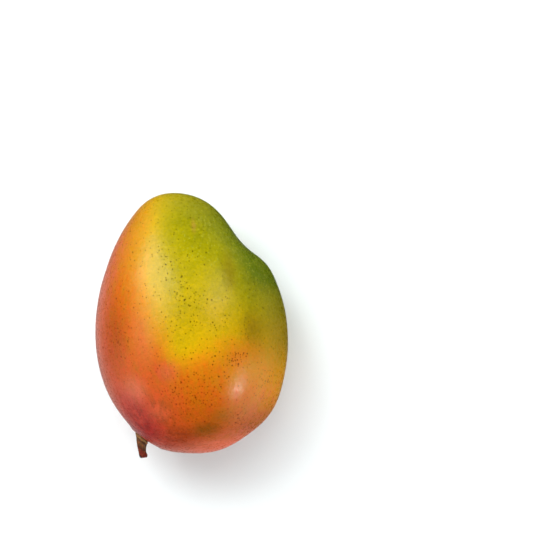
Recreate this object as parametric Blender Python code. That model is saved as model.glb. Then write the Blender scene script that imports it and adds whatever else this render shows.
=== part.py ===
"""A whole mango, lying on its flat side, with its short woody stem stub.

Blender 4.5, metres, +Z up. The origin is the centre of the small flat spot that the fruit rests on.
+Y runs along the fruit from the stem end to the apex, +X points to the side with the beak.
The dimensions below are in millimetres, and are turned to metres where the meshes are placed.
"""

import math

import bmesh
import bpy
import numpy as np
from mathutils import Vector

MM = 0.001

# ---- Driving dimensions, in millimetres, measured from the middle of the fruit ----

HALF_WIDTH = 45.8
HALF_LENGTH = 62.5
HALF_THICKNESS = 40.0
SECTION_POWER = 2.12  # 2 would be an ellipse; a little more fills the cheeks out
STEM_END_FULLNESS = 0.04  # share by which the cheeks are thicker at the stem end, thinner at the apex

# The fruit's outline in its middle plane, anticlockwise from the widest point of the beak side.
OUTLINE = [
    (46.4, -3.0),  # the belly of the beak side
    (44.8, 11.2),
    (41.1, 23.6),  # the beak, a blunt swelling
    (35.9, 30.4),
    (30.3, 36.5),  # the sinus, the hollow between the beak and the apex
    (25.9, 44.9),
    (19.8, 54.5),
    (10.9, 61.9),
    (0.0, 65.7),  # the apex
    (-11.1, 63.4),
    (-20.4, 56.1),
    (-30.2, 43.4),
    (-38.4, 27.0),  # the long back
    (-43.7, 10.0),
    (-45.5, -8.0),
    (-43.6, -21.0),
    (-39.3, -33.0),
    (-34.6, -40.9),
    (-29.4, -48.6),  # the stem root
    (-21.2, -54.7),
    (-10.3, -58.5),
    (3.0, -59.2),  # the shoulder
    (19.8, -54.3),
    (35.1, -41.8),
    (43.0, -25.0),
]
OUTLINE_WAVES = 10  # how many waves round the fruit its outline is made of
OUTLINE_SAMPLES = 256  # taken evenly round the curve through the points, to find those waves

STEM_ROOT = Vector((-29.4, -48.4, 1.2))  # on the skin, a little above the middle plane
STEM_RISE = math.radians(6)  # the stub points along -Y and slightly up
STEM_SUNK = 3.2  # how deep its foot stands in the flesh
# (distance out of the root, shift towards +X, radius) along the stub
STEM_STATIONS = [
    (-STEM_SUNK, 0.3, 2.0),
    (-1.2, 0.2, 2.5),
    (0.3, 0.1, 2.75),  # the knobbly ring where the stalk joins the fruit
    (1.6, 0.0, 2.6),
    (2.8, -0.2, 2.3),
    (4.4, -0.3, 2.1),
    (6.0, -0.4, 1.85),
    (7.2, -0.35, 1.75),  # the waist
    (8.2, -0.2, 1.9),
    (9.0, -0.1, 1.9),  # the flared scar where the stalk broke off
    (9.5, -0.1, 1.5),
]
STEM_SIDES_RESOLUTION = 4  # bevel_resolution, which gives 12 sides
STEM_CLEARANCE = 0.3  # between the stub and its socket

# Soft swells and hollows of the skin round the stem: (middle, radius, height)
STEM_RELIEF = [
    (Vector((-30.6, -47.6, 0.5)), 4.0, 0.9),  # the skin drawn out to the stalk on the back's side
    (Vector((-24.8, -52.0, 1.5)), 3.8, -1.2),  # the hollow between the stalk and the shoulder
]
REST_SINK = 0.45  # how much of the lowest skin is pressed flat, which makes the rest spot

SKIN_SUBDIVISIONS = 5  # of the icosphere that the fruit starts as: 5120 triangles
FINE_SKIN_ANGLE = math.radians(15)  # round the stem, where one more subdivision is made

WELD_DISTANCE = 0.01  # for the stub's end caps
SHARP_EDGE = math.radians(50)  # edges of the stub bent more than this stay sharp

SKIN_COLOUR = (0.68, 0.33, 0.02, 1.0)  # the yellow-orange in the middle of the blush
SKIN_ROUGHNESS = 0.38  # waxy
STALK_COLOUR = (0.09, 0.035, 0.018, 1.0)
STALK_ROUGHNESS = 0.75  # dry wood


def clear_scene():
    for obj in list(bpy.data.objects):
        bpy.data.objects.remove(obj)


def new_collection(name):
    collection = bpy.data.collections.new(name)
    bpy.context.scene.collection.children.link(collection)
    return collection


def plain_material(name, colour, roughness):
    material = bpy.data.materials.new(name)
    material.use_nodes = True
    shader = material.node_tree.nodes["Principled BSDF"]
    shader.inputs["Base Color"].default_value = colour
    shader.inputs["Roughness"].default_value = roughness
    shader.inputs["Metallic"].default_value = 0.0
    return material


def outline_waves():
    """The outline as waves round an ellipse: term n swells and shrinks n times in one turn.

    A smooth closed curve is drawn through the outline's points, as distances from the middle
    compared with the ellipse of the half width and half length, and taken apart into waves.
    """
    points = np.array(OUTLINE) / (HALF_WIDTH, HALF_LENGTH)
    turns = np.unwrap(np.arctan2(points[:, 1], points[:, 0]))
    swells = np.hypot(points[:, 0], points[:, 1])
    full_turn = 2 * math.pi
    around = np.concatenate([turns[-2:] - full_turn, turns, turns[:3] + full_turn])
    values = np.concatenate([swells[-2:], swells, swells[:3]])
    slopes = (values[2:] - values[:-2]) / (around[2:] - around[:-2])
    around, values = around[1:-1], values[1:-1]

    samples = np.arange(OUTLINE_SAMPLES) / OUTLINE_SAMPLES * full_turn
    left = np.clip(np.searchsorted(around, samples, side="right") - 1, 0, len(around) - 2)
    width = around[left + 1] - around[left]
    t = (samples - around[left]) / width
    smooth = (
        values[left] * (1 + 2 * t) * (1 - t) ** 2
        + slopes[left] * width * t * (1 - t) ** 2
        + values[left + 1] * t**2 * (3 - 2 * t)
        + slopes[left + 1] * width * t**2 * (t - 1)
    )
    waves = np.fft.rfft(smooth)[: OUTLINE_WAVES + 1] / (OUTLINE_SAMPLES / 2)
    waves[0] /= 2
    return waves


def fruit_point(direction, waves):
    """Where the skin lies in a direction from the middle, without the relief round the stem and the rest spot.

    Each wave of the outline fades as its own power towards the two cheeks, so the sinus and the
    beak stay near the rim, while the egg shape reaches over the whole fruit.
    """
    flat = math.hypot(direction.x, direction.y)
    turn = math.atan2(direction.y, direction.x)
    fill = (flat**SECTION_POWER + abs(direction.z) ** SECTION_POWER) ** (-1 / SECTION_POWER)
    reach = min(flat * fill, 1.0)
    swell = sum((wave * reach**n * np.exp(1j * n * turn)).real for n, wave in enumerate(waves))
    x = HALF_WIDTH * swell * fill * direction.x
    y = HALF_LENGTH * swell * fill * direction.y
    thickness = HALF_THICKNESS * (1 - STEM_END_FULLNESS * y / HALF_LENGTH)
    return Vector((x, y, thickness * fill * direction.z))


def stem_direction():
    return Vector((0.0, -math.cos(STEM_RISE), math.sin(STEM_RISE)))


def with_stem_relief(point):
    """The skin's point moved out or in, straight away from the middle, by the relief round the stem."""
    outwards = point.normalized()
    moved = point.copy()
    for middle, radius, height in STEM_RELIEF:
        distance = (point - middle).length / radius
        moved += outwards * height * math.exp(-(distance**2))
    return moved


def rest_height():
    """How far the middle of the fruit lies above the surface that it rests on."""
    return HALF_THICKNESS - REST_SINK


def make_skin_mesh(waves):
    """The skin: a sphere of even triangles, finer round the stem, moved out to where the skin lies."""
    skin = bmesh.new()
    bmesh.ops.create_icosphere(skin, subdivisions=SKIN_SUBDIVISIONS, radius=1.0)
    to_stem = Vector(
        (
            STEM_ROOT.x / HALF_WIDTH,
            STEM_ROOT.y / HALF_LENGTH,
            STEM_ROOT.z / HALF_THICKNESS,
        )
    )
    near_stem = [
        edge
        for edge in skin.edges
        if all(vertex.co.angle(to_stem) < FINE_SKIN_ANGLE for vertex in edge.verts)
    ]
    bmesh.ops.subdivide_edges(skin, edges=near_stem, cuts=1, use_grid_fill=True)
    bmesh.ops.triangulate(skin, faces=skin.faces[:])
    for vertex in skin.verts:
        point = with_stem_relief(fruit_point(vertex.co.normalized(), waves))
        point.z = max(point.z + rest_height(), 0.0)
        vertex.co = point * MM
    bmesh.ops.recalc_face_normals(skin, faces=skin.faces[:])
    mesh = bpy.data.meshes.new("fruit")
    skin.to_mesh(mesh)
    skin.free()
    return mesh


def stem_curve(name, growth=0.0, foot_growth=0.0):
    """The stub, one tapering tube. growth widens it, and foot_growth lengthens its sunk foot."""
    curve = bpy.data.curves.new(name, "CURVE")
    curve.dimensions = "3D"
    curve.bevel_depth = MM
    curve.bevel_resolution = STEM_SIDES_RESOLUTION
    curve.use_fill_caps = True
    spline = curve.splines.new("POLY")
    spline.points.add(len(STEM_STATIONS) - 1)
    out = stem_direction()
    root = STEM_ROOT + Vector((0, 0, rest_height()))
    for index, (distance, shift, radius) in enumerate(STEM_STATIONS):
        if index == 0:
            distance -= foot_growth
        place = (root + out * distance + Vector((shift, 0, 0))) * MM
        spline.points[index].co = (*place, 1.0)
        spline.points[index].radius = radius + growth
    return bpy.data.objects.new(name, curve)


def curve_as_mesh(curve_object, name):
    """The curve object turned into a mesh object of that name, with its caps welded on."""
    bpy.context.view_layer.update()
    graph = bpy.context.evaluated_depsgraph_get()
    mesh = bpy.data.meshes.new_from_object(curve_object.evaluated_get(graph))
    tube = bmesh.new()
    tube.from_mesh(mesh)
    bmesh.ops.remove_doubles(tube, verts=tube.verts[:], dist=WELD_DISTANCE * MM)
    bmesh.ops.recalc_face_normals(tube, faces=tube.faces[:])
    tube.to_mesh(mesh)
    tube.free()
    made = bpy.data.objects.new(name, mesh)
    made.matrix_world = curve_object.matrix_world.copy()
    bpy.data.objects.remove(curve_object)
    return made


def make_fruit(collection, waves):
    fruit = bpy.data.objects.new("fruit", make_skin_mesh(waves))
    fruit.data.materials.append(plain_material("mango skin", SKIN_COLOUR, SKIN_ROUGHNESS))
    fruit.data.shade_smooth()
    collection.objects.link(fruit)
    return fruit


def make_stem(collection):
    guide = stem_curve("stem_guide")
    collection.objects.link(guide)
    stem = curve_as_mesh(guide, "stem")
    stem.data.materials.append(plain_material("woody stalk", STALK_COLOUR, STALK_ROUGHNESS))
    stem.data.shade_smooth()
    stem.data.set_sharp_from_angle(angle=SHARP_EDGE)
    collection.objects.link(stem)
    return stem


def cut_stem_socket(fruit, cutters):
    """The hole that the stub's foot stands in: the stub's own shape, wider by the clearance."""
    guide = stem_curve("socket_guide", STEM_CLEARANCE, STEM_CLEARANCE)
    cutters.objects.link(guide)
    cutter = curve_as_mesh(guide, "stem_socket_cutter")
    cutter.hide_render = True
    cutter.display_type = "WIRE"
    cutters.objects.link(cutter)
    cut = fruit.modifiers.new("stem socket", "BOOLEAN")
    cut.operation = "DIFFERENCE"
    cut.object = cutter


def main():
    clear_scene()
    mango = new_collection("mango")
    cutters = new_collection("cutters")
    waves = outline_waves()
    fruit = make_fruit(mango, waves)
    make_stem(mango)
    cut_stem_socket(fruit, cutters)


main()
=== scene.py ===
# %% [markdown]
# # A ripe mango
#
# This lesson dresses a mango that is already built as two plain solids: the fruit, lying on its
# flatter cheek, and the short woody stalk that it hung from. The solids hold the true size and shape.
# Here they get what the eye sees: a smooth waxy skin with its blush, its dots and its marks, a corky
# ring where the stalk comes out, and the ribbed stalk itself, broken off when the fruit was picked.
# Everything is in metres. The fruit lies along Y, with its stalk at the end towards -Y, and its
# long rounded back is on the side of -X. The beak, a small shoulder near the tip, is towards +X.

# %% Load the plain model
import math

import bpy
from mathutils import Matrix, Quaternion, Vector


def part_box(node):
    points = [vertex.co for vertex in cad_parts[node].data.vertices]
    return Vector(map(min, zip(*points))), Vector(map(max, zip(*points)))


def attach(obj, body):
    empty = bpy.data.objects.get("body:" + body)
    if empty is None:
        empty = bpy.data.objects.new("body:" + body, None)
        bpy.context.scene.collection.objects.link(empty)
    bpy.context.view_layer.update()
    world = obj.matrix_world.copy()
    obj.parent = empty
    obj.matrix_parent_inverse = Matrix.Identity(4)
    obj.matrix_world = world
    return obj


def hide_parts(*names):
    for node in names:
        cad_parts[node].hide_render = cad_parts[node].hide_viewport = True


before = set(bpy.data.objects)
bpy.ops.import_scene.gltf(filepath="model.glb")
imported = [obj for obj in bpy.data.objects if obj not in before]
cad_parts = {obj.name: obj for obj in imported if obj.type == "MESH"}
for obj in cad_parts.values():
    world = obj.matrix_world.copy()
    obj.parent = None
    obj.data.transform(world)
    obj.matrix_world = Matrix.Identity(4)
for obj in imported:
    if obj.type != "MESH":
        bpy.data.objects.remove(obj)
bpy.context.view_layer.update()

MM = 0.001
fruit_low, fruit_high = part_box("fruit")
fruit_middle = (fruit_low + fruit_high) / 2
fruit_half = (fruit_high - fruit_low) / 2
print("fruit", [round(2 * side / MM, 1) for side in fruit_half], "mm")

# %% [markdown]
# ## The camera
# The fruit is seen from straight above, a little turned, and left of the middle of the picture.
# A long lens keeps its outline close to its true one. It could be an orthographic camera, but a
# real lens lets the other views look natural too.

# %% Put the camera above the fruit
LENS = 100.0  # mm, for a sensor 36 mm wide
VIEW_WIDTH = 266.2 * MM  # what the picture spans at the height of the fruit's rim
VIEW_CENTRE = Vector((45.6 * MM, 17.2 * MM, fruit_middle.z))
CAMERA_TURN = math.radians(-7.5)

camera_data = bpy.data.cameras.new("camera")
camera_data.lens = LENS
camera_data.clip_start = 0.01
camera = bpy.data.objects.new("camera", camera_data)
bpy.context.scene.collection.objects.link(camera)
camera_height = VIEW_WIDTH * LENS / camera_data.sensor_width
camera.location = VIEW_CENTRE + Vector((0, 0, camera_height))
camera.rotation_euler = (0, 0, CAMERA_TURN)
bpy.context.scene.camera = camera
print("camera", round(camera_height, 3), "m above the rim")

# %% [markdown]
# ## The fruit's skin, its shape
# The plain solid has facets and a socket for the stalk. The skin has neither, so it is modelled anew:
# a cube is cut finely, swollen to a ball, stretched to the fruit's size and laid on the solid with
# Shrinkwrap. A ball made from a cube has no poles, where a UV sphere would pinch the skin.
# The solid is copied first, as a mould: its loose triangles are merged and its socket is closed.

# %% Selecting by place
STEM_ROOT = Vector((-29.4, -48.4, 40.75)) * MM
STEM_RISE = math.radians(6)
STEM_OUT = Vector((0, -math.cos(STEM_RISE), math.sin(STEM_RISE)))


def deselect_all():
    """Deselects every object."""
    bpy.ops.object.select_all(action="DESELECT")


def start_edit(piece):
    """Makes this piece the only selected one, with nothing of its mesh selected, ready for edit mode."""
    deselect_all()
    piece.select_set(True)
    bpy.context.view_layer.objects.active = piece
    bpy.ops.object.mode_set(mode="EDIT")
    bpy.ops.mesh.select_all(action="DESELECT")
    bpy.ops.object.mode_set(mode="OBJECT")


def select_points(piece, test):
    """Selects the mesh points that pass the test, and leaves the piece in edit mode."""
    start_edit(piece)
    for point in piece.data.vertices:
        point.select = test(point)
    bpy.ops.object.mode_set(mode="EDIT")


def end_edit():
    """Goes back to object mode, which writes the mesh's changes and its selection."""
    bpy.ops.object.mode_set(mode="OBJECT")


def from_stem_axis(place):
    """How far a place is from the line through the stalk."""
    return (place - STEM_ROOT).cross(STEM_OUT).length


# %% Make the mould
SOCKET_RADIUS = 3.3 * MM
SOCKET_REACH = 8 * MM  # the socket's floor is less than this behind the stalk's root

mould = bpy.data.objects.new("mould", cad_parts["fruit"].data.copy())
bpy.context.scene.collection.objects.link(mould)
select_points(mould, lambda point: True)
bpy.ops.mesh.remove_doubles(threshold=0.01 * MM)
end_edit()
select_points(
    mould,
    lambda point: point.co.y < STEM_ROOT.y + SOCKET_REACH and from_stem_axis(point.co) < SOCKET_RADIUS,
)
bpy.ops.mesh.delete(type="VERT")
bpy.ops.mesh.select_all(action="DESELECT")
bpy.ops.mesh.select_non_manifold()
bpy.ops.mesh.edge_face_add()
end_edit()
print("mould", len(mould.data.vertices), "points")

# %% Swell a cube to the fruit's shape
CUBE_CUTS = 23

deselect_all()
bpy.ops.mesh.primitive_cube_add(size=2, location=(0, 0, 0))
skin = bpy.context.object
skin.name = "mango_skin"
skin.data.name = "mango_skin"
bpy.ops.object.mode_set(mode="EDIT")
bpy.ops.mesh.subdivide(number_cuts=CUBE_CUTS)
bpy.ops.transform.tosphere(value=1)
end_edit()
ball_radius = max(point.co.x for point in skin.data.vertices)
bpy.ops.object.mode_set(mode="EDIT")
bpy.ops.transform.resize(value=fruit_half / ball_radius, center_override=(0, 0, 0))
bpy.ops.transform.translate(value=fruit_middle)
end_edit()
print("ball", [round(side / MM, 1) for side in skin.dimensions], "mm")

# %% Lay it on the mould
def apply_modifiers(piece):
    """Applies the modifiers of the piece, which has to be the active one, in their order."""
    for modifier in list(piece.modifiers):
        bpy.ops.object.modifier_apply(modifier=modifier.name)


wrap = skin.modifiers.new("lay on the mould", "SHRINKWRAP")
wrap.target = mould
wrap.wrap_method = "NEAREST_SURFACEPOINT"
relax = skin.modifiers.new("relax", "SMOOTH")
relax.factor = 0.5
relax.iterations = 2
finer = skin.modifiers.new("finer", "SUBSURF")
finer.levels = 2
finer.render_levels = 2
apply_modifiers(skin)
bpy.data.objects.remove(mould)
bpy.ops.object.shade_smooth()
print("skin", len(skin.data.polygons), "faces")

# %% [markdown]
# ## Swellings, the crease by the stalk and the flat spot
# A mango isn't a perfect egg. Its skin swells and sinks by a tenth of a millimetre or two over
# distances of about 20 mm, and it shows where lamps are mirrored in it, so Displace adds that with
# a cloud pattern. Beside the stalk the skin folds in, and under it stands out as a small lip: both
# are pushed one by one, with proportional editing, which carries the neighbours along. So are a low
# swelling on the side and the small turns of the outline, such as the sinus, which is the hollow
# above the beak. At the very end what lies below the table's height is flattened, because the
# fruit's own weight does so.

# %% Swellings
swellings = bpy.data.textures.new("swellings", "CLOUDS")
swellings.noise_scale = 21 * MM
swellings.noise_depth = 0
displace = skin.modifiers.new("swellings", "DISPLACE")
displace.texture = swellings
displace.texture_coords = "LOCAL"
displace.mid_level = 0.5
displace.strength = 0.5 * MM
start_edit(skin)
apply_modifiers(skin)
print("swollen", [round(side / MM, 1) for side in skin.dimensions], "mm")


# %% Crease, lip and other small forms
def push(piece, centre, radius, shift):
    """Shifts the point nearest to a place, and its neighbours within the radius with it."""
    nearest = min(piece.data.vertices, key=lambda point: (point.co - centre).length).index
    select_points(piece, lambda point: point.index == nearest)
    bpy.ops.transform.translate(
        value=shift,
        use_proportional_edit=True,
        proportional_edit_falloff="SMOOTH",
        proportional_size=radius,
    )
    end_edit()


PUSHES = [  # what for, place, radius and shift, in mm
    ("crease", (-25.6, -50.6, 42.0), 3.4, (0.1, 0.9, -0.2)),
    ("lip", (-21.0, -54.0, 41.0), 4.0, (-0.1, -0.35, 0.25)),
    ("shoulder by the stalk", (-33.4, -45.4, 41.5), 4.2, (-0.35, -0.25, 0.2)),
    ("low swelling on the side", (19, -29, 68), 13, (0.1, -0.08, 0.18)),
    ("shoulder of the beak", (39.5, 25.5, 40), 13, (0.6, 0.6, 0)),
    ("sinus above the beak", (29, 37.5, 42), 7, (-0.25, -0.3, 0)),
    ("fuller stalk end", (8, -58, 40), 22, (0, -0.5, 0)),
    ("fuller corner of the stalk end", (33, -42, 40), 20, (0.4, -0.4, 0)),
    ("flatter back by the tip", (-34, 38, 40), 18, (0.6, -0.35, 0)),
    ("flatter tip", (2, 64, 40), 18, (0, -0.35, 0)),
]
for form, centre, radius, shift in PUSHES:
    push(skin, Vector(centre) * MM, radius * MM, Vector(shift) * MM)
    print(form, "pushed by", shift, "mm")

# %% Flat spot
select_points(skin, lambda point: point.co.z < 0)
bpy.ops.transform.resize(value=(1, 1, 0), center_override=(0, 0, 0))
end_edit()
print("lowest point", round(min(point.co.z for point in skin.data.vertices) / MM, 3), "mm")

# %% [markdown]
# ## Colours and nodes
# Colours are written as sRGB hex values and turned to linear, which is what shaders expect.
# One function adds a node, so that each material reads as a list of what it is made of.

# %% Colour and node helpers
def linear(hex_colour):
    """An sRGB hex colour as linear red, green, blue and alpha."""
    channels = [int(hex_colour[start : start + 2], 16) / 255 for start in (0, 2, 4)]
    return [c / 12.92 if c <= 0.04045 else ((c + 0.055) / 1.055) ** 2.4 for c in channels] + [1.0]


def add(tree, kind, sockets=None, **settings):
    """Adds a node. Each socket gets a value, or a link where it is given another node's output."""
    node = tree.nodes.new("ShaderNode" + kind)
    for name, value in settings.items():
        setattr(node, name, value)
    for name, value in (sockets or {}).items():
        if isinstance(value, bpy.types.NodeSocket):
            tree.links.new(value, node.inputs[name])
        else:
            node.inputs[name].default_value = value
    return node


def new_material(name):
    """Makes a material with no nodes yet, and gives it and its node tree."""
    material = bpy.data.materials.new(name)
    material.use_nodes = True
    material.node_tree.nodes.clear()
    return material, material.node_tree


def set_ramp(ramp, colours):
    """Gives a colour ramp its stops, from pairs of position and hex colour."""
    stops = ramp.color_ramp.elements
    while len(stops) < len(colours):
        stops.new(0.5)
    for stop, (position, hex_colour) in zip(stops, colours):
        stop.position = position
        stop.color = linear(hex_colour)


# %% [markdown]
# ## The skin's ripeness
# A mango's skin is a thin cuticle of wax over cells with green, yellow and red pigment. The red
# blush grows where the sun reached it, on the long back and round the stalk, and the green stays
# longest on the shaded beak and at the tip. So one number, the ripeness, is worked out for each
# place, from 0 on the green beak to 1 on the crimson stalk end, and one ramp turns it to colour.
# It could be painted by hand as a texture, but a sum of soft forms is sharp at any distance. The
# places are first shifted by a slow noise, so that no border runs like a drawn line.

# %% Where each place is, a little shifted
skin_material, tree = new_material("waxy mango skin")
place = add(tree, "TexCoord").outputs["Object"]

WANDER_SIZE, WANDER_DEPTH = 24 * MM, 9 * MM
wander = add(
    tree, "TexNoise", {"Vector": place, "Scale": 1 / WANDER_SIZE, "Detail": 5.0, "Roughness": 0.6}
)
wander_shift = add(tree, "VectorMath", {0: wander.outputs["Color"], 1: (-0.5,) * 3}, operation="ADD")
wandered = add(
    tree,
    "VectorMath",
    {0: wander_shift.outputs[0], 1: (WANDER_DEPTH,) * 3, 2: place},
    operation="MULTIPLY_ADD",
).outputs[0]
axes = add(tree, "SeparateXYZ", {0: wandered})
print("places wander by up to", round(WANDER_DEPTH / 2 / MM, 1), "mm")


# %% Soft ovals
def soft_oval(where, centre, radii):
    """How much a place belongs to a soft oval patch of the skin: 1 at its centre, 0 at its edge."""
    offset = add(tree, "VectorMath", {0: where, 1: Vector(centre) * MM}, operation="SUBTRACT")
    scaled = add(tree, "VectorMath", {0: offset.outputs[0], 1: Vector(radii) * MM}, operation="DIVIDE")
    distance = add(tree, "VectorMath", {0: scaled.outputs[0]}, operation="LENGTH")
    falloff = add(
        tree,
        "MapRange",
        {"Value": distance.outputs["Value"], "From Min": 1.0, "From Max": 0.0},
        interpolation_type="SMOOTHSTEP",
    )
    return falloff.outputs["Result"]


def add_patches(number, patches):
    """Adds soft oval patches to a number that varies by place. Each has its name and what it adds."""
    for name, centre, radii, change in patches:
        number = add(
            tree,
            "Math",
            {0: soft_oval(wandered, centre, radii), 1: change, 2: number},
            operation="MULTIPLY_ADD",
            label=name,
        ).outputs[0]
    return number


# %% The blush of the back and of the stalk end
BACK_BLUSH_FROM, BACK_BLUSH_TO = -1 * MM, -48 * MM  # along X, where it starts and where it is full
STALK_BLUSH_FROM, STALK_BLUSH_TO = 24 * MM, -57 * MM  # the same, along Y
back_blush = add(
    tree,
    "MapRange",
    {
        "Value": axes.outputs["X"],
        "From Min": BACK_BLUSH_FROM,
        "From Max": BACK_BLUSH_TO,
        "To Min": 0.28,
        "To Max": 0.68,
    },
)
stalk_blush = add(
    tree,
    "MapRange",
    {
        "Value": axes.outputs["Y"],
        "From Min": STALK_BLUSH_FROM,
        "From Max": STALK_BLUSH_TO,
        "To Max": 0.36,
    },
)
print("blush of the back, full at", round(BACK_BLUSH_TO / MM), "mm")

# %% The corner where both blushes meet
CORNER_BACK, CORNER_STALK = -51 * MM, -36.5 * MM  # where the corner's two sides are deepest red
CORNER_LEAN = -0.33  # how far the side along the back leans, for each step along the fruit
CORNER_WIDTH = 42 * MM  # over this width the two blushes meet in one round corner
CORNER_ROUNDING = 0.6  # as a share of that width
leaning = add(
    tree,
    "Math",
    {0: axes.outputs["Y"], 1: CORNER_LEAN, 2: axes.outputs["X"]},
    operation="MULTIPLY_ADD",
)
from_back, from_stalk = (
    add(
        tree,
        "MapRange",
        {"Value": across, "From Min": deepest, "From Max": deepest + CORNER_WIDTH},
        clamp=False,
    )
    for across, deepest in ((leaning.outputs[0], CORNER_BACK), (axes.outputs["Y"], CORNER_STALK))
)
inside = add(
    tree,
    "Math",
    {0: from_back.outputs[0], 1: from_stalk.outputs[0], 2: CORNER_ROUNDING},
    operation="SMOOTH_MIN",
)
corner_blush = add(
    tree,
    "MapRange",
    {"Value": inside.outputs[0], "From Min": 1.0, "From Max": 0.0, "To Max": 0.18},
    interpolation_type="SMOOTHSTEP",
)
print("blushes meet over", round(CORNER_WIDTH / MM), "mm")

# %% The border of the yellow heart
# On top of the fruit the yellow ends in a sharper corner, with a narrow border to the orange.
HEART_CORNER = Vector((-10.5 * MM, -13 * MM))
BORDER_WIDTH, BORDER_ROUNDING = 11 * MM, 6 * MM
past_back = add(tree, "Math", {0: axes.outputs["X"], 1: HEART_CORNER.x}, operation="SUBTRACT")
past_stalk = add(tree, "Math", {0: axes.outputs["Y"], 1: HEART_CORNER.y}, operation="SUBTRACT")
border = add(
    tree,
    "Math",
    {0: past_back.outputs[0], 1: past_stalk.outputs[0], 2: BORDER_ROUNDING},
    operation="SMOOTH_MIN",
)
border_step = add(
    tree,
    "MapRange",
    {
        "Value": border.outputs[0],
        "From Min": BORDER_WIDTH / 2,
        "From Max": -BORDER_WIDTH / 2,
        "To Min": -0.03,
        "To Max": 0.09,
    },
    interpolation_type="SMOOTHSTEP",
)
border_blush = add(
    tree,
    "Math",
    {0: border_step.outputs[0], 1: soft_oval(place, (-4, -8, 75), (34, 30, 60))},
    operation="MULTIPLY",
)
print("border of the heart", round(BORDER_WIDTH / MM), "mm wide")

# %% The green of the beak
BEAK_FROM, BEAK_TO = 12 * MM, 50 * MM  # along X, where the green starts and where it is full
TIP_FROM, TIP_TO = -8 * MM, 33 * MM  # the same, along Y
towards_beak = add(
    tree,
    "MapRange",
    {"Value": axes.outputs["X"], "From Min": BEAK_FROM, "From Max": BEAK_TO, "To Max": 0.56},
    interpolation_type="SMOOTHSTEP",
)
towards_tip = add(
    tree,
    "MapRange",
    {"Value": axes.outputs["Y"], "From Min": TIP_FROM, "From Max": TIP_TO},
    interpolation_type="SMOOTHSTEP",
)
beak_green = add(
    tree, "Math", {0: towards_beak.outputs[0], 1: towards_tip.outputs[0]}, operation="MULTIPLY"
)
print("green of the beak, full at", round(BEAK_TO / MM), "mm")

# %% Sum them up, with patches that ripened more or less than their neighbours
RIPENESS_PATCHES = [  # centre and radii in mm, and what the patch adds to the ripeness
    ("green tip", (15, 50, 60), (29, 36, 90), -0.16),
    ("crimson by the stalk", (-33, -41, 50), (20, 22, 90), 0.18),
    ("yellow flank", (84, -59, 50), (88, 88, 150), -0.45),
    ("yellow heart", (-3, -7, 75), (10, 9, 60), -0.03),
    ("orange shoulder", (-19, -6, 70), (9, 17, 60), 0.07),
    ("orange fold", (24, -13, 70), (13, 10, 60), 0.08),
    ("orange back", (-23, 14, 60), (14, 24, 60), 0.09),
    ("yellow beside the heart", (-15, 4, 70), (6, 11, 60), -0.06),
    ("orange below the heart", (-12, -16, 70), (8, 8, 60), 0.12),
    ("orange tongue into the heart", (18, -7, 70), (8, 6, 60), 0.04),
]
ripeness = back_blush.outputs[0]
for part, operation in (
    (stalk_blush, "ADD"),
    (corner_blush, "ADD"),
    (beak_green, "SUBTRACT"),
    (border_blush, "ADD"),
):
    ripeness = add(tree, "Math", {0: ripeness, 1: part.outputs[0]}, operation=operation).outputs[0]
ripeness = add_patches(ripeness, RIPENESS_PATCHES)
print(len(RIPENESS_PATCHES), "patches of ripeness")

# %% Clouds and grain in the ripeness
CLOUD_SIZE, CLOUD_DEPTH = 6 * MM, 0.1
GRAIN_SIZE, GRAIN_DEPTH = 1.1 * MM, 0.1
clouds, grain = (
    add(
        tree, "TexNoise", {"Vector": place, "Scale": 1 / size, "Detail": 3.0, "Roughness": 0.6}
    ).outputs["Fac"]
    for size in (CLOUD_SIZE, GRAIN_SIZE)
)
for noise, depth in ((clouds, CLOUD_DEPTH), (grain, GRAIN_DEPTH)):
    centred = add(tree, "Math", {0: noise, 1: 0.5}, operation="SUBTRACT")
    ripeness = add(
        tree, "Math", {0: centred.outputs[0], 1: depth, 2: ripeness}, operation="MULTIPLY_ADD"
    ).outputs[0]
print("clouds", round(CLOUD_SIZE / MM, 1), "mm and grain", round(GRAIN_SIZE / MM, 1), "mm wide")

# %% [markdown]
# ## Streaks
# Red pigment follows the vessels under the skin, so the blush is streaked: along the fruit, and
# around it on the stalk end. Two noises do that, each stretched four times in one direction, and
# one gives way to the other where the stalk end begins. The streaks are strongest in the red.

# %% Streaks
STREAK_WIDTH, STREAK_LENGTH = 2.2 * MM, 9 * MM
STREAKS_TURN_FROM, STREAKS_TURN_TO = -36 * MM, -50 * MM  # along Y, where they turn round the fruit


def drawn_out_noise(where, sizes, detail):
    """A noise that is drawn out along one axis. Its sizes are given along X, Y and Z."""
    scaled = add(tree, "Mapping", {"Vector": where, "Scale": [1 / size for size in sizes]})
    noise = add(
        tree,
        "TexNoise",
        {"Vector": scaled.outputs[0], "Scale": 1.0, "Detail": detail, "Roughness": 0.6},
    )
    return noise.outputs["Fac"]


streaks_along = drawn_out_noise(wandered, (STREAK_WIDTH, STREAK_LENGTH, STREAK_WIDTH), 4.0)
streaks_around = drawn_out_noise(wandered, (STREAK_LENGTH, STREAK_WIDTH, STREAK_WIDTH), 4.0)
at_stalk_end = add(
    tree,
    "MapRange",
    {"Value": axes.outputs["Y"], "From Min": STREAKS_TURN_FROM, "From Max": STREAKS_TURN_TO},
    interpolation_type="SMOOTHSTEP",
)
streaks = add(tree, "Mix", {0: at_stalk_end.outputs[0], 2: streaks_along, 3: streaks_around}).outputs[0]
streak_depth = add(
    tree,
    "MapRange",
    {"Value": ripeness, "From Min": 0.4, "From Max": 0.7, "To Min": 0.06, "To Max": 0.34},
)
centred_streaks = add(tree, "Math", {0: streaks, 1: 0.5}, operation="SUBTRACT").outputs[0]
streak_change = add(
    tree, "Math", {0: centred_streaks, 1: streak_depth.outputs[0]}, operation="MULTIPLY"
).outputs[0]
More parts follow.
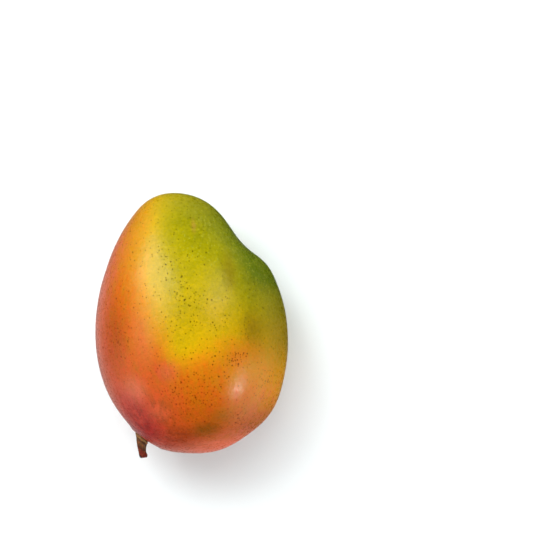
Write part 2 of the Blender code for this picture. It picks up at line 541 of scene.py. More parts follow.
ripeness = add(tree, "Math", {0: ripeness, 1: streak_change}, operation="ADD").outputs[0]
print("streaks", round(STREAK_WIDTH / MM, 1), "mm wide and", round(STREAK_LENGTH / MM), "mm long")

# %% From ripeness to colour
RIPENESS_COLOURS = [
    (0.0, "5c6a01"),  # leaf green
    (0.1, "7a7a02"),
    (0.2, "908702"),  # olive
    (0.3, "a49104"),
    (0.4, "b69403"),  # yellow
    (0.5, "c08408"),
    (0.6, "c0720c"),  # amber
    (0.7, "bc5d0a"),
    (0.8, "b84e10"),  # orange
    (0.9, "b44318"),
    (1.0, "a0301c"),  # crimson
]
pigment = add(tree, "ValToRGB", {"Fac": ripeness})
set_ramp(pigment, RIPENESS_COLOURS)
print(len(RIPENESS_COLOURS), "colours from green to crimson")

# %% [markdown]
# ## Bloom and painted sheen
# The wax of the blushed skin is thickest low on the sides, where nothing rubs it off, and gives the
# orange a milky, coral tint, more on some streaks than on others. The coral is also a painted
# reflection: the low sides mirror the white paper, and that sheen is painted into the colour here. It
# is mixed in by height, so that it stays on the sides however the fruit is seen.

# %% Coral bloom and painted sheen on the blushed sides
BLOOM_AND_SHEEN_TOP, BLOOM_AND_SHEEN_FULL = 68 * MM, 54 * MM  # the heights between which the bloom sets in
low_side = add(
    tree,
    "MapRange",
    {
        "Value": add(tree, "SeparateXYZ", {0: place}).outputs["Z"],
        "From Min": BLOOM_AND_SHEEN_TOP,
        "From Max": BLOOM_AND_SHEEN_FULL,
    },
    interpolation_type="SMOOTHSTEP",
)
blushed = add(
    tree,
    "MapRange",
    {"Value": ripeness, "From Min": 0.52, "From Max": 0.8, "To Max": 0.87},
    interpolation_type="SMOOTHSTEP",
).outputs[0]
bloom_and_sheen = add(tree, "Math", {0: low_side.outputs[0], 1: blushed}, operation="MULTIPLY")
brushed = add(
    tree,
    "MapRange",
    {"Value": streaks, "From Min": 0.38, "From Max": 0.62, "To Min": 0.65, "To Max": 1.1},
)
bloom_and_sheen = add(
    tree, "Math", {0: bloom_and_sheen.outputs[0], 1: brushed.outputs[0]}, operation="MULTIPLY", use_clamp=True
)
# The coral colour is the wax's bloom and also a painted reflection of the white paper on the low sides.
skin_colour = add(
    tree,
    "Mix",
    {0: bloom_and_sheen.outputs[0], 6: pigment.outputs[0], 7: linear("c8684e")},
    data_type="RGBA",
).outputs[2]
print("bloom below", round(BLOOM_AND_SHEEN_TOP / MM), "mm")

# %% [markdown]
# ## Lenticels
# The dots on a mango are lenticels, the pores that it breathes through. On the ripe side they are
# corky brown specks, 0.6 to 0.8 mm wide, which crowd together in some places and leave others
# bare. On the green side they are paler than the skin. A Voronoi pattern gives one cell to each
# dot: its distance output draws the dot, and its colour output, a random number for each cell,
# says whether the cell has one. Three patterns, turned apart, give the large brown dots, the small
# ones and the pale ones. They could be modelled, but they hardly stand out from the skin. Cork
# isn't waxy, so the brown ones mirror less.

# %% Dots
def dots(spacing, radius, share, turn):
    """Round dots, one in a cell of the pattern. The share of cells that have one may vary by place."""
    turned = add(tree, "Mapping", {"Vector": place, "Rotation": turn})
    cells = add(tree, "TexVoronoi", {"Vector": turned.outputs[0], "Scale": 1 / spacing})
    dot = add(
        tree,
        "MapRange",
        {
            "Value": cells.outputs["Distance"],
            "From Min": radius / spacing,
            "From Max": 0.5 * radius / spacing,
        },
        interpolation_type="SMOOTHSTEP",
    )
    chance = add(tree, "SeparateColor", {0: cells.outputs["Color"]})
    kept = add(tree, "Math", {0: chance.outputs[0], 1: share}, operation="LESS_THAN")
    return add(tree, "Math", {0: dot.outputs[0], 1: kept.outputs[0]}, operation="MULTIPLY").outputs[0]


# %% Where the brown dots crowd
CROWDS = [  # centre and radii in mm, and how many more of the cells have a dot there
    ("on the tip's yellow", (-4, 34, 80), (6, 12, 40), 0.5),
    ("above the heart", (3, 18, 80), (7, 14, 40), 0.9),
    ("above the heart, nearer the beak", (8, 13, 80), (6, 8, 40), 0.8),
    ("in the heart", (0, 4, 80), (15, 12, 40), 0.7),
    ("towards the beak", (17, 3, 75), (6, 6, 40), 0.4),
    ("beside the beak", (27, -4, 70), (6, 6, 40), 0.6),
    ("on the orange fold", (21, -15, 75), (8, 6, 40), 1.1),
    ("high on the back", (-32, 14, 65), (8, 18, 40), 0.5),
    ("on the back", (-28, -3, 65), (10, 12, 40), 0.7),
    ("at the heart's corner", (-11, -17, 75), (8, 6, 40), 0.6),
    ("below the heart", (-1, -28, 75), (20, 14, 40), 1.3),
    ("on the yellow flank", (33, -30, 60), (12, 10, 40), 0.9),
    ("on the stalk end", (19, -46, 60), (9, 8, 40), 1.0),
]
LARGE_CROWDS = [  # the same for large dots
    ("on the tip's yellow", (-4, 34, 80), (6, 12, 40), 0.4),
    ("above the heart", (3, 18, 80), (7, 14, 40), 0.6),
    ("above the heart, nearer the beak", (8, 13, 80), (7, 9, 40), 0.5),
    ("on the orange fold", (22, -15, 75), (7, 5, 40), 1.0),
    ("on the stalk end", (20, -46, 60), (9, 8, 40), 1.0),
]
# Outside the crowds about a fifth of the cells have a dot, and more where the clouds are dense.
crowd = add(tree, "Math", {0: clouds, 1: 0.9, 2: -0.24}, operation="MULTIPLY_ADD").outputs[0]
crowd = add_patches(crowd, CROWDS)
large_crowd = add(tree, "Math", {0: crowd, 1: 0.3}, operation="MULTIPLY").outputs[0]
large_crowd = add_patches(large_crowd, LARGE_CROWDS)
large_dots = dots(spacing=1.8 * MM, radius=0.5 * MM, share=large_crowd, turn=(0.3, 0.2, 0.5))
small_dots = dots(spacing=1.25 * MM, radius=0.4 * MM, share=crowd, turn=(0.9, 0.4, 0.1))
print(len(CROWDS), "crowds of dots,", len(LARGE_CROWDS), "of them with large ones")

# %% Brown dots, darker than the skin they are in, and redder where it is ripe
for dot_amount, on_yellow, on_orange in (
    (small_dots, "9c9460", "c09a64"),
    (large_dots, "84744a", "a87044"),
):
    dot_colour = add(
        tree,
        "Mix",
        {0: blushed, 6: linear(on_yellow), 7: linear(on_orange)},
        data_type="RGBA",
    )
    skin_colour = add(
        tree,
        "Mix",
        {0: dot_amount, 6: skin_colour, 7: dot_colour.outputs[2]},
        data_type="RGBA",
        blend_type="MULTIPLY",
    ).outputs[2]
print("skin material", len(tree.nodes), "nodes with its brown dots")

# %% Pale dots on the green skin
greenness = add(
    tree,
    "MapRange",
    {"Value": ripeness, "From Min": 0.3, "From Max": 0.08, "To Max": 0.9},
    interpolation_type="SMOOTHSTEP",
)
pale_dots = dots(spacing=1.3 * MM, radius=0.38 * MM, share=greenness.outputs[0], turn=(0.1, 0.7, 0.2))
skin_colour = add(
    tree,
    "Mix",
    {0: pale_dots, 6: skin_colour, 7: linear("9c9c30")},
    data_type="RGBA",
).outputs[2]
print("skin material", len(tree.nodes), "nodes with its pale dots")

# %% [markdown]
# ## Marks
# No picked fruit is without marks. This one was rubbed by a twig beside the beak, has a small
# russet scar at the tip, and a browner band round the stalk end, which also holds painted shade.
# Its wax is thick and milky in places, and those milky patches hold a painted sheen of the lamps
# and the room as well. It is crimson round the stalk, where the sun was on it all day, and there
# the skin turns to cork. The crease by the stalk is darkened with painted shade, and the foot of
# the stalk end is lit coral with painted rim light. Each mark is a soft oval that a finer noise
# breaks up, laid over the colour. A painted texture would be finer still, but an oval is easier to move.

# %% Rubbed places, the scar, the blushes and painted light and shade
MARKS = [  # centre and radii in mm, colour, strength
    ("rubbed by a twig", (23, 24, 70), (5, 14, 40), "76600a", 0.5),
    ("scar at the tip", (9.5, 47, 60), (1.8, 5.5, 40), "9a702c", 0.5),
    # Painted shade: the brown band is also darkened where the wax mirrors the dark room between the
    # lamps and the paper.
    ("brown band and painted shade, its left end", (-9, -48, 55), (17, 8, 40), "963602", 1.1),
    ("brown band and painted shade, its middle", (3, -46, 55), (11, 6, 40), "724402", 0.95),
    ("brown band and painted shade, its right end", (11, -41, 55), (9, 6, 40), "8a5a08", 0.6),
    ("brown strokes beside the beak", (30, -3, 60), (8, 12, 50), "80620a", 0.5),
    # Painted sheen: the milky marks are partly thick wax and partly the hazy highlight of the lamps and
    # the room, painted in.
    ("milky wax and painted sheen on the shoulder", (-27, -24, 55), (10, 11, 40), "d88466", 0.4),
    ("milky wax and painted sheen beside the crimson", (-17, -36, 55), (9, 8, 40), "cc6a44", 0.35),
    # Painted rim light: the coral foot of the stalk end is lit as if by the paper in front of it.
    ("coral foot and painted rim light of the stalk end", (8, -57, 44), (28, 9, 24), "cc5436", 0.6),
    # Painted sheen, with some milky wax, on the cheek and below the heart.
    ("milky wax and painted sheen on the cheek", (-19, 1, 60), (9, 24, 50), "cc7a44", 0.4),
    ("milky wax and painted sheen below the heart", (-10, -17, 60), (8, 8, 40), "c86e44", 0.5),
    ("crimson above the stalk", (-32, -34, 50), (12, 18, 40), "a22a22", 0.8),
    ("crimson round the stalk", (-25, -44, 50), (17, 13, 40), "a2221a", 1.15),
    ("crimson under the stalk", (-16, -51, 45), (15, 7, 30), "ac2c1c", 0.6),
    # Painted shade: the crease beside the stalk is darkened with colour.
    ("crease by the stalk", (-25.2, -50.4, 42.5), (4, 3, 5), "6a1c14", 0.9),
]
MARK_GRAIN = 1.8 * MM
mark_noise = add(
    tree, "TexNoise", {"Vector": place, "Scale": 1 / MARK_GRAIN, "Detail": 4.0, "Roughness": 0.7}
).outputs["Fac"]
for name, centre, radii, hex_colour, strength in MARKS:
    broken = add(tree, "Math", {0: mark_noise, 1: 2 * strength}, operation="MULTIPLY")
    amount = add(
        tree,
        "Math",
        {0: soft_oval(place, centre, radii), 1: broken.outputs[0]},
        operation="MULTIPLY",
        use_clamp=True,
        label=name,
    )
    skin_colour = add(
        tree,
        "Mix",
        {0: amount.outputs[0], 6: skin_colour, 7: linear(hex_colour)},
        data_type="RGBA",
    ).outputs[2]
print(len(MARKS), "marks")

# %% Cork round the stalk
CORK_REACH, CORK_EDGE, CORK_RAGGEDNESS = 5.6 * MM, 0.4 * MM, 3 * MM
from_root = add(tree, "VectorMath", {0: place, 1: STEM_ROOT}, operation="SUBTRACT")
from_root = add(tree, "VectorMath", {0: from_root.outputs[0]}, operation="LENGTH")
ragged = add(
    tree,
    "Math",
    {0: mark_noise, 1: CORK_RAGGEDNESS, 2: from_root.outputs["Value"]},
    operation="MULTIPLY_ADD",
)
cork = add(
    tree,
    "MapRange",
    {"Value": ragged.outputs[0], "From Min": CORK_REACH + CORK_EDGE, "From Max": CORK_REACH - CORK_EDGE},
)
cork_colour = add(tree, "ValToRGB", {"Fac": mark_noise})
set_ramp(cork_colour, [(0.35, "5a3a1e"), (0.65, "9a7448")])
skin_colour = add(
    tree,
    "Mix",
    {0: cork.outputs[0], 6: skin_colour, 7: cork_colour.outputs[0]},
    data_type="RGBA",
).outputs[2]
print("cork up to", round(CORK_REACH / MM, 1), "mm from the stalk's root")

# %% [markdown]
# ## Lighter and darker skin
# How much light the skin sends back changes in soft patches, 10 to 30 mm wide, and by a little in
# each streak and grain. Some patches are painted light and shade: the beak side, turned away from
# the lamps, is darkened, and so is the band over the stalk end; the shoulder is lightened where the
# main highlight lies, and the lower corner and the foot of the stalk end where the rim catches the
# glow of the room. Faint rings run round the tip, where the skin grew last. One number for
# each place, near 1, multiplies the colour. That keeps the hue, which a second ramp wouldn't.

# %% Rings round the tip
RING_STEP, RING_DEPTH = 1.9 * MM, 0.09
TIP = Vector((9, 47, 62)) * MM
from_tip = add(tree, "VectorMath", {0: place, 1: TIP}, operation="SUBTRACT")
from_tip = add(tree, "VectorMath", {0: from_tip.outputs[0]}, operation="LENGTH")
rings = add(tree, "Math", {0: from_tip.outputs["Value"], 1: math.tau / RING_STEP}, operation="MULTIPLY")
rings = add(tree, "Math", {0: rings.outputs[0]}, operation="SINE")
rings = add(
    tree,
    "Math",
    {0: rings.outputs[0], 1: soft_oval(wandered, (13, 46, 62), (9, 10, 40))},
    operation="MULTIPLY",
).outputs[0]
print("rings", round(RING_STEP / MM, 1), "mm apart")

# %% Lighter and darker skin
SHADES = [  # centre and radii in mm, and how much lighter or darker the skin is there
    # Painted shade: the beak side, turned away from the lamps, is darkened, over the green's own darker
    # tone.
    ("painted shade on the beak side", (40, -3, 50), (24, 26, 60), -0.29),
    ("lighter beak", (27, 39, 55), (20, 22, 50), 0.14),
    ("brown fold", (29, -2, 60), (9, 22, 60), -0.15),
    ("bright yellow heart", (5, -8, 75), (17, 17, 60), 0.16),
    ("lighter belly", (8, 28, 75), (16, 26, 50), 0.12),
    # Painted highlight: the shoulder is lightened where the key card's highlight lies.
    ("painted highlight on the shoulder", (-12, 22, 75), (14, 24, 50), 0.05),
    ("darker band on the back", (-32, 0, 60), (9, 25, 60), -0.24),
    ("darker shoulder by the crimson", (-41, -16, 50), (9, 17, 50), -0.12),
    # Painted light: the lower corner of the stalk end is lightened as if by the glow of the room.
    ("painted glow on the stalk end's corner", (38, -32, 45), (21, 23, 60), 0.56),
    # Painted shade over the brown band of the stalk end.
    ("painted shade over the stalk end", (2, -41, 60), (26, 13, 60), -0.14),
    # Painted rim light along the foot of the stalk end.
    ("painted rim light on the foot of the stalk end", (12, -57, 46), (30, 12, 26), 0.58),
    ("darker crimson", (-21, -40, 50), (19, 18, 60), -0.19),
    # Painted shade, as on the beak side above.
    ("more painted shade beside the beak", (31, 16, 55), (9, 11, 50), -0.12),
]
GRAIN_SHADE, CLOUD_SHADE = 0.6, 0.25
STREAK_SHADE = 1.3  # how much lighter or darker the streaks are, for their change of ripeness
BRUSHED_SHADE = 2.0  # the streaks above the stalk are stronger still
brushed_end = add(
    tree,
    "Math",
    {0: centred_streaks, 1: soft_oval(place, (-19, -38, 55), (24, 24, 50))},
    operation="MULTIPLY",
).outputs[0]
shade = 1 - (GRAIN_SHADE + CLOUD_SHADE) / 2  # so that it is near 1 where both noises are at 0.5
for pattern, depth in (
    (grain, GRAIN_SHADE),
    (clouds, CLOUD_SHADE),
    (rings, RING_DEPTH),
    (streak_change, STREAK_SHADE),
    (brushed_end, BRUSHED_SHADE),
):
    shade = add(tree, "Math", {0: pattern, 1: depth, 2: shade}, operation="MULTIPLY_ADD").outputs[0]
shade = add_patches(shade, SHADES)
shade_colour = add(tree, "CombineColor", {channel: shade for channel in range(3)})
skin_colour = add(
    tree,
    "Mix",
    {0: 1.0, 6: skin_colour, 7: shade_colour.outputs[0]},
    data_type="RGBA",
    blend_type="MULTIPLY",
).outputs[2]
print(len(SHADES), "lighter and darker patches")

# %% [markdown]
# ## Wax
# The cuticle is a natural wax, semi-gloss and not quite even: lamps are mirrored in it as hazy
# patches with a fine grain. Principled does that with the IOR of a plant wax, 1.45, a roughness
# that wavers round 0.3, and a bump a tenth of a millimetre deep, from a noise 2 mm wide. Real
# dents would do the same, but would need a mesh ten times as fine. The wax is a little thinner on
# the side of the beak, and mirrors less there.

# %% Wax, grain and the finished skin
WAX_GRAIN, WAX_RELIEF = 1.9 * MM, 0.09 * MM
EVEN_WAX = 0.5  # the specular level of whole, even wax
CORK_CHANGE, THIN_WAX_CHANGE = -0.4, -0.22  # what cork and thinner wax change that level by
wax_grain = add(
    tree, "TexNoise", {"Vector": place, "Scale": 1 / WAX_GRAIN, "Detail": 2.0, "Roughness": 0.6}
).outputs["Fac"]
wax_roughness = add(
    tree,
    "MapRange",
    {"Value": wax_grain, "From Min": 0.3, "From Max": 0.7, "To Min": 0.23, "To Max": 0.35},
)
any_dot = add(tree, "Math", {0: large_dots, 1: small_dots}, operation="MAXIMUM")
corky = add(
    tree, "Math", {0: any_dot.outputs[0], 1: CORK_CHANGE, 2: EVEN_WAX}, operation="MULTIPLY_ADD"
)
thin_wax = add(
    tree,
    "Math",
    {0: soft_oval(place, (44, 5, 40), (16, 40, 50)), 1: THIN_WAX_CHANGE, 2: corky.outputs[0]},
    operation="MULTIPLY_ADD",
)
wax_relief = add(tree, "Bump", {"Height": wax_grain, "Distance": WAX_RELIEF, "Strength": 1.0})
skin_shader = add(
    tree,
    "BsdfPrincipled",
    {
        "Base Color": skin_colour,
        "Roughness": wax_roughness.outputs[0],
        "IOR": 1.45,
        "Specular IOR Level": thin_wax.outputs[0],
        "Normal": wax_relief.outputs[0],
    },
)
# An export that can't follow the link keeps this value.
skin_shader.inputs["Specular IOR Level"].default_value = EVEN_WAX
add(tree, "OutputMaterial", {"Surface": skin_shader.outputs["BSDF"]})
skin.data.materials.append(skin_material)
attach(skin, "root")
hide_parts("fruit")
print("skin material", len(tree.nodes), "nodes")

# %% [markdown]
# ## The stalk
# The stalk is a stub of green wood, 4 to 5 mm thick and 10 mm long, left when the fruit was
# snapped off its panicle. It has blunt ribs along it, a knobbly slanting collar where it grows out
# of the skin, and a hollow, slightly flared break at its end. A cone would look like a peg, so a
# circle is extruded ring by ring, as a twig is modelled by hand: each ring is moved, resized and,
# near the skin, slanted. It is made lying along -Y from the origin, and put in its place last.

# %% Extrude the stalk ring by ring
RING_POINTS = 32
STALK_RINGS = [  # distance along the stalk, shift along X and radius in mm, slant in degrees
    (-3.0, 0.30, 2.10, 45),
    (-1.4, 0.20, 2.40, 45),
    (-0.5, 0.15, 2.62, 45),
    (0.2, 0.10, 2.74, 44),
    (0.9, 0.05, 2.62, 42),
    (1.4, 0.00, 2.36, 38),
    (2.0, -0.05, 2.42, 30),
    (2.9, -0.20, 2.34, 20),
    (3.9, -0.28, 2.20, 10),
    (5.0, -0.35, 2.02, 4),
    (6.2, -0.40, 1.84, 0),
    (7.2, -0.35, 1.76, 0),
    (8.0, -0.25, 1.86, 0),
    (8.6, -0.15, 1.90, 0),
    (9.1, -0.10, 1.72, 0),
    (9.5, -0.10, 1.36, 0),
]

deselect_all()
distance, shift, radius_before, slant_before = STALK_RINGS[0]
middle_before = Vector((shift, -distance, 0)) * MM
bpy.ops.mesh.primitive_circle_add(
    vertices=RING_POINTS,
    radius=radius_before * MM,
    fill_type="NGON",
    location=middle_before,
    rotation=(math.radians(90), 0, 0),
)
stalk = bpy.context.object
stalk.name = "mango_stalk"
stalk.data.name = "mango_stalk"
bpy.ops.object.transform_apply(location=True, rotation=True, scale=True)


def slant_ring(middle, slant):
    """Slants the selected ring about a vertical line, and widens it so that the stalk stays as thick."""
    bpy.ops.transform.rotate(value=math.radians(slant), orient_axis="Z", center_override=middle)
    widen = 1 / math.cos(math.radians(slant))
    bpy.ops.transform.resize(value=(widen, widen, 1), center_override=middle)


def straighten_ring(middle, slant):
    """Takes the slant and the widening away again."""
    narrow = math.cos(math.radians(slant))
    bpy.ops.transform.resize(value=(narrow, narrow, 1), center_override=middle)
    bpy.ops.transform.rotate(value=-math.radians(slant), orient_axis="Z", center_override=middle)


bpy.ops.object.mode_set(mode="EDIT")
bpy.ops.mesh.select_all(action="SELECT")
slant_ring(middle_before, slant_before)
for distance, shift, radius, slant in STALK_RINGS[1:]:
    middle = Vector((shift, -distance, 0)) * MM
    bpy.ops.mesh.extrude_region_move(TRANSFORM_OT_translate={"value": middle - middle_before})
    straighten_ring(middle, slant_before)
    bpy.ops.transform.resize(value=(radius / radius_before,) * 3, center_override=middle)
    slant_ring(middle, slant)
    middle_before, radius_before, slant_before = middle, radius, slant
end_edit()
print("stalk", [round(side / MM, 1) for side in stalk.dimensions], "mm")

# %% Hollow the broken end
start_edit(stalk)
end_face = min(stalk.data.polygons, key=lambda face: face.center.y)
end_face.select = True
bpy.ops.object.mode_set(mode="EDIT")
for thickness, depth in ((0.3, 0.1), (0.25, -0.3), (0.3, -0.2)):
    bpy.ops.mesh.inset(thickness=thickness * MM, depth=depth * MM)
end_edit()
print("broken end hollowed by 0.5 mm")

# %% Ribs along the stalk
RIBS = [(25, 1.08), (92, 1.05), (150, 1.09), (215, 1.04), (268, 1.08), (325, 1.05)]  # degrees, widening
RIB_REACH = math.radians(9)
BREAK_START, STALK_END = 8.6, 12.0  # mm along the stalk, with some room past its end


def around(point):
    """The angle of a point around the stalk, from +X towards +Z."""
    return math.atan2(point.co.z, point.co.x)


def select_band(start, stop, test=lambda point: True):
    """Selects the stalk's points between two distances along it, in mm, that also pass the test."""
    select_points(stalk, lambda point: start * MM < -point.co.y < stop * MM and test(point))


def roughen(depth, uniform, normal, seed):
    """Shifts the selected points at random, by up to a depth in mm, and leaves edit mode."""
    bpy.ops.transform.vertex_random(offset=depth * MM, uniform=uniform, normal=normal, seed=seed)
    end_edit()


for degrees, wider in RIBS:
    rib = math.radians(degrees)
    select_band(0.5, BREAK_START, lambda point: math.cos(around(point) - rib) > math.cos(RIB_REACH))
    bpy.ops.transform.resize(value=(wider, 1, wider), center_override=(0, 0, 0))
    end_edit()
print(len(RIBS), "ribs")

# %% The knobs of the collar, the ragged end and the flare
select_points(stalk, lambda point: -1.2 * MM < -point.co.y - point.co.x < 1.3 * MM)
roughen(0.28, uniform=0.4, normal=0.6, seed=3)
select_band(BREAK_START, STALK_END)
roughen(0.22, uniform=0.7, normal=0.3, seed=8)
select_band(2.0, BREAK_START)
roughen(0.08, uniform=0.5, normal=0.5, seed=5)
select_band(7.8, STALK_END, lambda point: point.co.x > 0.6 * MM)
bpy.ops.transform.translate(value=(0.22 * MM, 0, 0))
end_edit()
print("roughened stalk", [round(side / MM, 1) for side in stalk.dimensions], "mm")

# %% Put the stalk in its place
select_points(stalk, lambda point: True)
bpy.ops.transform.rotate(value=STEM_RISE, orient_axis="X", center_override=(0, 0, 0))
bpy.ops.transform.translate(value=STEM_ROOT)
end_edit()
rounder = stalk.modifiers.new("rounder", "SUBSURF")
rounder.levels = 2
rounder.render_levels = 2
apply_modifiers(stalk)
bpy.ops.object.shade_smooth()
end_place = min((point.co for point in stalk.data.vertices), key=lambda spot: spot.y)
print("stalk ends at", [round(c / MM, 1) for c in end_place], "faces", len(stalk.data.polygons))

# %% [markdown]
# ## The stalk's bark
# Young mango wood has a thin bark: tan cork on the collar, olive brown above, and dark red brown
# towards the break, where the sap dried on it. All of it is drawn out in fibres along the stalk.
# A ramp follows the distance from the collar, which is counted along the slant, and a noise that
# is stretched ten times along the stalk gives the fibres.

# %% The colour along the stalk
stalk_material, tree = new_material("bark of a green mango twig")
BARK_GRAIN, BARK_WANDER = 1.6 * MM, 2.6 * MM
RAMP_BEHIND, RAMP_AHEAD = 2 * MM, 10 * MM  # how far behind and in front of the collar the ramp runs
place = add(tree, "TexCoord").outputs["Object"]
from_root = add(tree, "VectorMath", {0: place, 1: STEM_ROOT}, operation="SUBTRACT")
axes = add(tree, "SeparateXYZ", {0: from_root.outputs[0]})
slanted = add(tree, "Math", {0: axes.outputs["X"], 1: axes.outputs["Y"]}, operation="ADD")
bark_noise = add(
    tree, "TexNoise", {"Vector": place, "Scale": 1 / BARK_GRAIN, "Detail": 4.0, "Roughness": 0.65}
).outputs["Fac"]
along = add(
    tree, "Math", {0: bark_noise, 1: BARK_WANDER, 2: slanted.outputs[0]}, operation="MULTIPLY_ADD"
)
along = add(
    tree,
    "MapRange",
    {
        "Value": along.outputs[0],
        "From Min": BARK_WANDER / 2 + RAMP_BEHIND,
        "From Max": BARK_WANDER / 2 - RAMP_AHEAD,
    },
)
BARK_COLOURS = [
    (0.00, "7a4a28"),
    (0.12, "8c6a40"),
    (0.22, "b08a58"),  # tan cork on the collar
    (0.27, "5c3a1c"),
    (0.32, "4e2e18"),
    (0.38, "745430"),  # olive brown
    (0.55, "6e4a28"),
    (0.62, "5a2c12"),
    (0.70, "6e200e"),  # dark red brown
    (0.88, "761a0c"),
    (1.00, "30100a"),  # the break
]
bark = add(tree, "ValToRGB", {"Fac": along.outputs[0]})
set_ramp(bark, BARK_COLOURS)
print(len(BARK_COLOURS), "colours along the stalk")

# %% Fibres and the finished bark
FIBRE_WIDTH, FIBRE_LENGTH, FIBRE_RELIEF = 0.45 * MM, 4.5 * MM, 0.12 * MM
fibres = drawn_out_noise(place, (FIBRE_WIDTH, FIBRE_LENGTH, FIBRE_WIDTH), 3.0)
fibre_shade = add(tree, "ValToRGB", {"Fac": fibres})
set_ramp(fibre_shade, [(0.3, "8a807a"), (0.5, "c8c0b8"), (0.7, "fff4e4")])
fibrous = add(
    tree,
    "Mix",
    {0: 1.0, 6: bark.outputs[0], 7: fibre_shade.outputs[0]},
    data_type="RGBA",
    blend_type="MULTIPLY",
)
warm = add(tree, "MapRange", {"Value": bark_noise, "From Min": 0.52, "From Max": 0.68})
bark_colour = add(
    tree,
    "Mix",
    {0: warm.outputs[0], 6: fibrous.outputs[2], 7: linear("8c4a22")},
    data_type="RGBA",
)
bark_relief = add(tree, "Bump", {"Height": fibres, "Distance": FIBRE_RELIEF, "Strength": 1.0})
bark_shader = add(
    tree,
    "BsdfPrincipled",
    {
        "Base Color": bark_colour.outputs[2],
        "Roughness": 0.55,
        "IOR": 1.45,
        "Normal": bark_relief.outputs[0],
    },
)
add(tree, "OutputMaterial", {"Surface": bark_shader.outputs["BSDF"]})
stalk.data.materials.append(stalk_material)
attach(stalk, "root")
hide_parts("stem")
print("bark material", len(tree.nodes), "nodes")

# %% [markdown]
# ## Studio
# The fruit lies on white paper. Lamps above and around it light it, and leave a soft shadow on its
# right and below. What the wax mirrors is set apart from them: three white cards that light
# nothing, so that their size, place and strength can follow the highlights alone. The lamps and
# the paper aren't mirrored, because they would wash out the rim of the fruit. Lamps that do both
# would be simpler, but then each change of a highlight would move the shadow too.

# %% Floor
FLOOR_RADIUS, FLOOR_GAP = 1.2, 0.2 * MM  # the gap keeps the paper clear of the fruit's flat spot

deselect_all()
bpy.ops.mesh.primitive_circle_add(
    vertices=96, radius=FLOOR_RADIUS, fill_type="NGON", location=(0, 0, -FLOOR_GAP)
)
floor = bpy.context.object
floor.name = "floor"
floor.visible_glossy = False
floor_material, tree = new_material("white studio paper")
paper_shader = add(tree, "BsdfPrincipled", {"Base Color": linear("ecf3f4"), "Roughness": 0.9})
add(tree, "OutputMaterial", {"Surface": paper_shader.outputs["BSDF"]})
floor.data.materials.append(floor_material)
print("paper", round(floor.dimensions.x, 1), "m wide")


# %% Lamps and cards
def light_panel(name, direction, distance, width, height, brightness, is_card, spin=0):
    """A panel of light that faces the fruit. Its brightness is compared with white paper's."""
    data = bpy.data.lights.new(name, "AREA")
    data.shape = "RECTANGLE"
    data.size = width
    data.size_y = height
    data.energy = brightness * math.pi * width * height
    panel = bpy.data.objects.new(name, data)
    bpy.context.scene.collection.objects.link(panel)
    out = Vector(direction).normalized()
    panel.location = fruit_middle + out * distance
    turned = Quaternion((0, 0, 1), math.radians(spin))
    panel.rotation_euler = (out.to_track_quat("Z", "Y") @ turned).to_euler()
    panel.visible_camera = False
    panel.visible_diffuse = not is_card
    panel.visible_glossy = is_card
    # With this on for a lamp, the wax would still mirror a little of it.
    data.cycles.use_multiple_importance_sampling = is_card


LAMPS = [  # direction from the fruit, distance, width and height in metres, brightness
    ("ceiling", (0, 0, 1), 1.4, 3.0, 3.0, 1.05),
    ("top_lamp", (0.0, 0.38, 0.93), 1.2, 0.5, 0.5, 4.0),
    ("back_lamp", (-0.3, 0.5, 0.8), 1.2, 0.5, 0.5, 9.6),
    ("low_back_lamp", (0.3, 0.9, 0.25), 1.2, 1.0, 0.5, 5.0),
    ("low_front_lamp", (-0.35, -0.9, 0.25), 1.2, 1.2, 0.5, 2.5),
    ("low_right_lamp", (0.75, -0.6, 0.25), 1.2, 1.0, 0.5, 1.6),
    ("low_left_lamp", (-0.95, 0.1, 0.25), 1.2, 1.0, 0.5, 1.0),
]
for lamp in LAMPS:
    light_panel(*lamp, is_card=False)
light_panel("key_card", (-0.465, 0.55, 0.69), 1.2, 0.62, 0.96, 3.8, is_card=True)
light_panel("side_card", (0.56, 0.32, 0.77), 1.2, 0.2, 0.8, 2.9, is_card=True)
light_panel("small_card", (0.65, -0.58, 0.49), 1.0, 0.28, 0.14, 16.0, is_card=True, spin=-30)
print(len(LAMPS), "lamps and 3 cards")

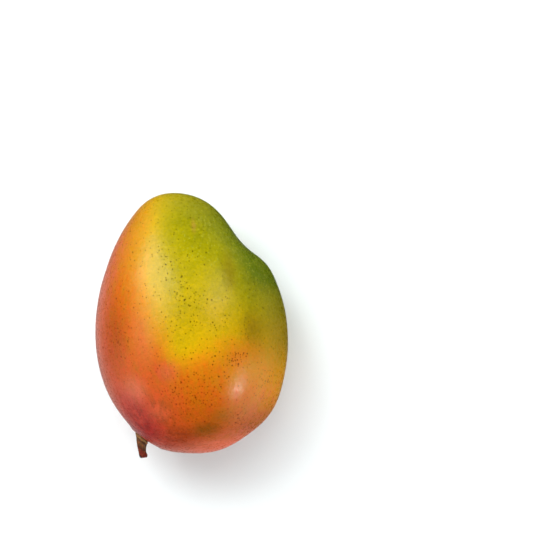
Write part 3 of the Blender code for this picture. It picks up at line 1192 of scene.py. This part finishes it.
# %% [markdown]
# ## The room
# Besides the cards the wax mirrors a dim room: pale walls and some of the paper, as soft round
# glows in a nearly black world. Large lamps could do it, but smooth glows are free of noise. The
# world lights nothing either. Where it is seen itself, in low views, it is a pale backdrop.

# %% The room that the wax mirrors
GLOWS = [  # direction from the fruit, its edge and its even core in degrees, brightness
    ("paper on the left and in front", (-0.65, -0.6, -0.6), 80, 20, 0.11),
    ("paper close to the fruit", (-0.35, -0.15, -0.92), 42, 8, 0.3),
    ("pale wall on the left", (-0.75, -0.3, 0.58), 45, 10, 0.58),
    ("foot of that wall", (-0.9, -0.35, 0.08), 30, 8, 0.4),
    ("pale wall on the right", (0.74, -0.66, 0.14), 34, 8, 1.2),
    ("pale wall behind, on the left", (-0.5, 0.8, 0.25), 30, 8, 0.45),
]
world = bpy.data.worlds.new("pale room")
bpy.context.scene.world = world
world.use_nodes = True
world.cycles_visibility.diffuse = False
world.cycles.sampling_method = "NONE"  # it isn't sampled as a lamp
tree = world.node_tree
towards = add(tree, "TexCoord").outputs["Generated"]
room = 0.01  # its darkest parts
for name, direction, edge, core, brightness in GLOWS:
    facing = add(
        tree, "VectorMath", {0: towards, 1: Vector(direction).normalized()}, operation="DOT_PRODUCT"
    )
    glow = add(
        tree,
        "MapRange",
        {
            "Value": facing.outputs["Value"],
            "From Min": math.cos(math.radians(edge)),
            "From Max": math.cos(math.radians(core)),
            "To Max": brightness,
        },
        interpolation_type="SMOOTHSTEP",
        label=name,
    )
    room = add(tree, "Math", {0: glow.outputs["Result"], 1: room}, operation="ADD").outputs[0]
room_colour = add(tree, "CombineColor", {channel: room for channel in range(3)})
is_seen = add(tree, "LightPath").outputs["Is Camera Ray"]
backdrop = add(
    tree,
    "Mix",
    {0: is_seen, 6: room_colour.outputs[0], 7: linear("eef1f2")},
    data_type="RGBA",
)
tree.links.new(backdrop.outputs[2], tree.nodes["Background"].inputs["Color"])
bpy.context.scene.view_settings.view_transform = "Standard"
print(len(GLOWS), "glows in the room")
